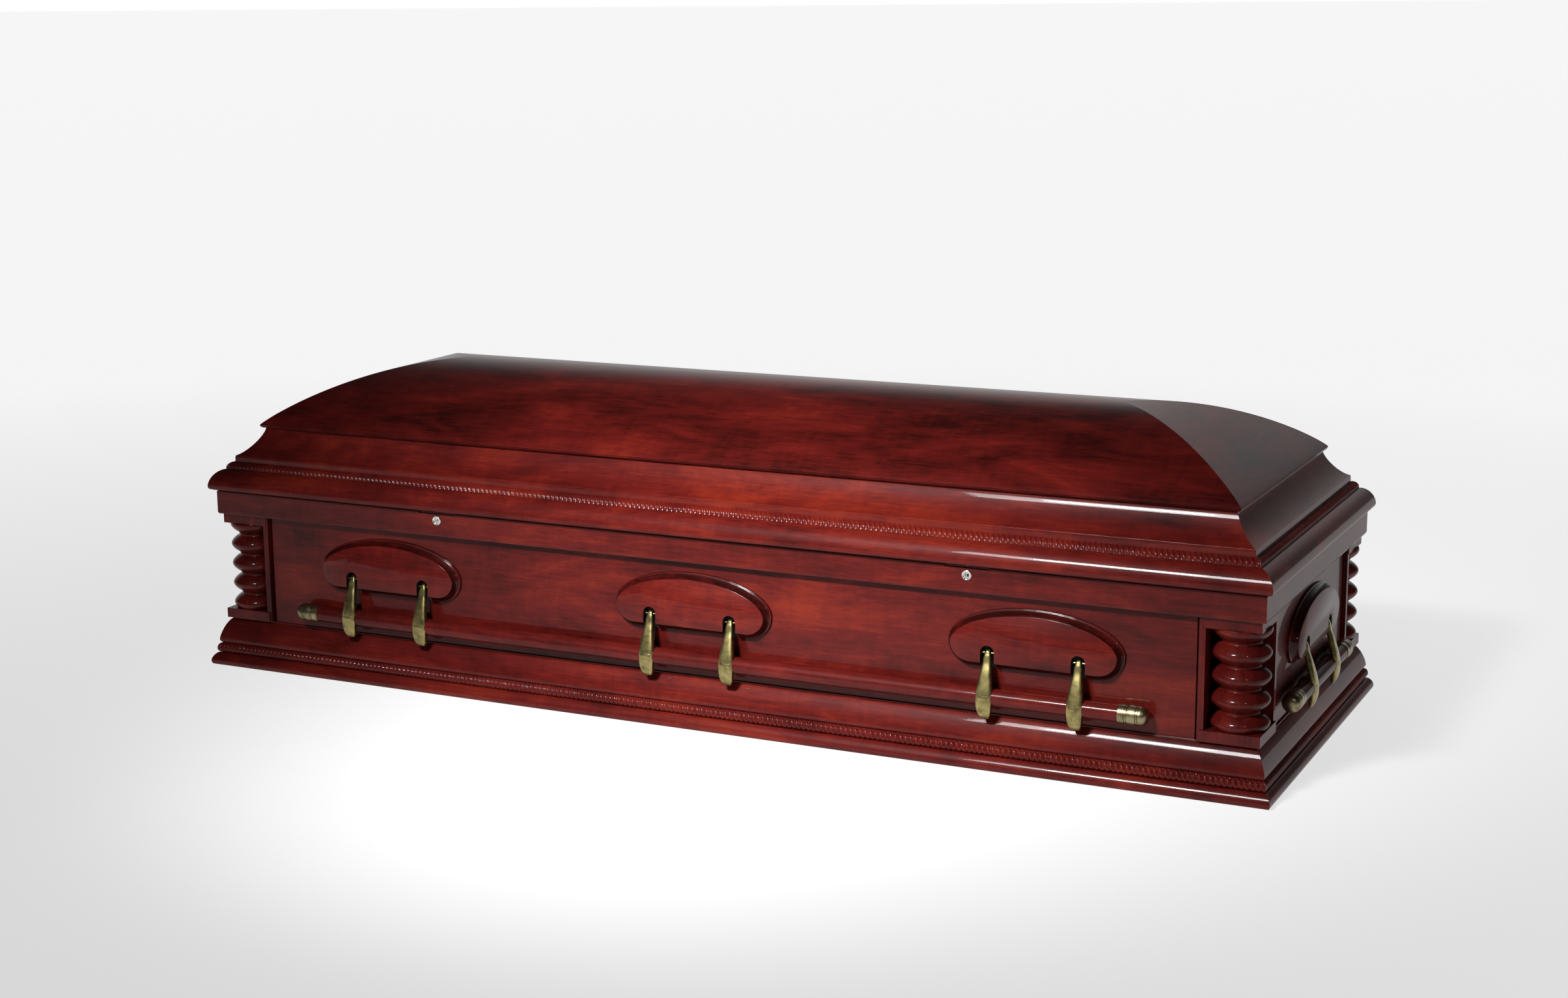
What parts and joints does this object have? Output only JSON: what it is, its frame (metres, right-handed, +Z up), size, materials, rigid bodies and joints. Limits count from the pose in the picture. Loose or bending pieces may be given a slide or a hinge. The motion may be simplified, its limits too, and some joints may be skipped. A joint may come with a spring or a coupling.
{
  "type": "funeral casket",
  "caption": "Panelled wooden casket with ringed corner columns, rope-beaded mouldings, a crowned lid and swing-bar handles.",
  "frame": {"origin": "centre of the underside", "axes": "X along the length, Y across the width with the front at -Y, Z up"},
  "size_m": [2.1198, 0.7648, 0.5809],
  "materials": {
    "cherry_lacquer": "gloss lacquer",
    "sealed_wood": "matt",
    "antique_brass": "satin",
    "nickel_plate": "polished"
  },
  "bodies": {
    "casket": {"base_moulding": "cherry_lacquer", "base_rope": "cherry_lacquer", "floor_board": "sealed_wood", "front_panel": "cherry_lacquer", "back_panel": "cherry_lacquer", "left_end_panel": "cherry_lacquer", "right_end_panel": "cherry_lacquer", "corner_post_front_left": "cherry_lacquer", "corner_post_front_right": "cherry_lacquer", "corner_post_back_left": "cherry_lacquer", "corner_post_back_right": "cherry_lacquer", "column_front_left": "cherry_lacquer", "column_front_right": "cherry_lacquer", "column_back_left": "cherry_lacquer", "column_back_right": "cherry_lacquer", "top_band": "cherry_lacquer", "lock_socket_left": "nickel_plate", "lock_socket_right": "nickel_plate", "lid_rim": "cherry_lacquer", "lid_rope": "cherry_lacquer", "lid_crown": "cherry_lacquer", "handle_plate_front_left": "cherry_lacquer", "handle_plate_front_middle": "cherry_lacquer", "handle_plate_front_right": "cherry_lacquer", "handle_plate_back_left": "cherry_lacquer", "handle_plate_back_middle": "cherry_lacquer", "handle_plate_back_right": "cherry_lacquer", "handle_plate_left_end": "cherry_lacquer", "handle_plate_right_end": "cherry_lacquer"},
    "front_handle": {"front_bar": "cherry_lacquer", "front_arm_1": "antique_brass", "front_arm_2": "antique_brass", "front_arm_3": "antique_brass", "front_arm_4": "antique_brass", "front_arm_5": "antique_brass", "front_arm_6": "antique_brass", "front_bar_cap_left": "antique_brass", "front_bar_cap_right": "antique_brass"},
    "back_handle": {"back_bar": "cherry_lacquer", "back_arm_1": "antique_brass", "back_arm_2": "antique_brass", "back_arm_3": "antique_brass", "back_arm_4": "antique_brass", "back_arm_5": "antique_brass", "back_arm_6": "antique_brass", "back_bar_cap_left": "antique_brass", "back_bar_cap_right": "antique_brass"},
    "left_end_handle": {"left_end_bar": "cherry_lacquer", "left_end_arm_1": "antique_brass", "left_end_arm_2": "antique_brass", "left_end_bar_cap_front": "antique_brass", "left_end_bar_cap_back": "antique_brass"},
    "right_end_handle": {"right_end_bar": "cherry_lacquer", "right_end_arm_1": "antique_brass", "right_end_arm_2": "antique_brass", "right_end_bar_cap_front": "antique_brass", "right_end_bar_cap_back": "antique_brass"}
  },
  "joints": [
    {"name": "front_handle_swing", "type": "hinge", "parent": "casket", "child": "front_handle", "pos_m": [0, -0.3545, 0.2], "axis": [-1, 0, 0], "range_deg": [0, 80]},
    {"name": "back_handle_swing", "type": "hinge", "parent": "casket", "child": "back_handle", "pos_m": [0, 0.3545, 0.2], "axis": [1, 0, 0], "range_deg": [0, 80]},
    {"name": "right_end_handle_swing", "type": "hinge", "parent": "casket", "child": "right_end_handle", "pos_m": [1.032, 0, 0.2], "axis": [0, -1, 0], "range_deg": [0, 80]},
    {"name": "left_end_handle_swing", "type": "hinge", "parent": "casket", "child": "left_end_handle", "pos_m": [-1.032, 0, 0.2], "axis": [0, 1, 0], "range_deg": [0, 80]}
  ]
}
